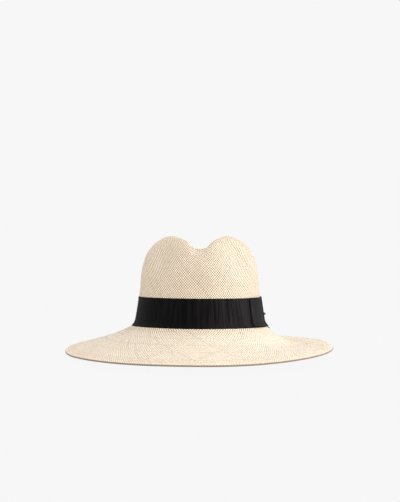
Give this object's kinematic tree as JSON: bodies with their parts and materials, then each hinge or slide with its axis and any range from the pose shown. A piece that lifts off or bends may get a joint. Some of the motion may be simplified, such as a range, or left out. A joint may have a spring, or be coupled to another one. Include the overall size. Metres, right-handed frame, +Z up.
{
  "type": "straw sun hat",
  "caption": "Wide-brimmed woven straw sun hat with a creased and pinched crown, a wired hem, a black grosgrain band with a flat bow, and an inner sweatband.",
  "frame": {"origin": "on the surface the hat stands on, under the middle of the brim", "axes": "+Z up, -Y the front of the hat, +X the wearer's left side, where the bow is"},
  "size_m": [0.3431, 0.3784, 0.1544],
  "materials": {
    "straw": "hand-woven natural straw, matt with a faint sheen",
    "straw_thread": "natural sewing thread",
    "ribbon": "ribbed black grosgrain, soft sheen",
    "sweatband": "black grosgrain sweatband",
    "black_thread": "black sewing thread",
    "wire": "drawn spring steel",
    "stud": "dark antique brass",
    "label": "ivory satin, blank"
  },
  "bodies": {
    "root": {"straw_body": "straw", "brim_wire": "wire", "brim_wire_sleeve": "wire", "hem_needle_thread": "straw_thread", "hem_bobbin_thread": "straw_thread", "hat_band": "ribbon", "bow_tail": "ribbon", "bow_loop": "ribbon", "bow_knot": "ribbon", "bow_stud": "stud", "bow_stud_washer": "stud", "band_tack_front": "black_thread", "band_tack_wearer_right": "black_thread", "band_tack_back": "black_thread", "sweatband": "sweatband", "sweatband_thread": "black_thread", "sweatband_bow": "ribbon", "size_label": "label", "care_label": "label"}
  },
  "joints": []
}
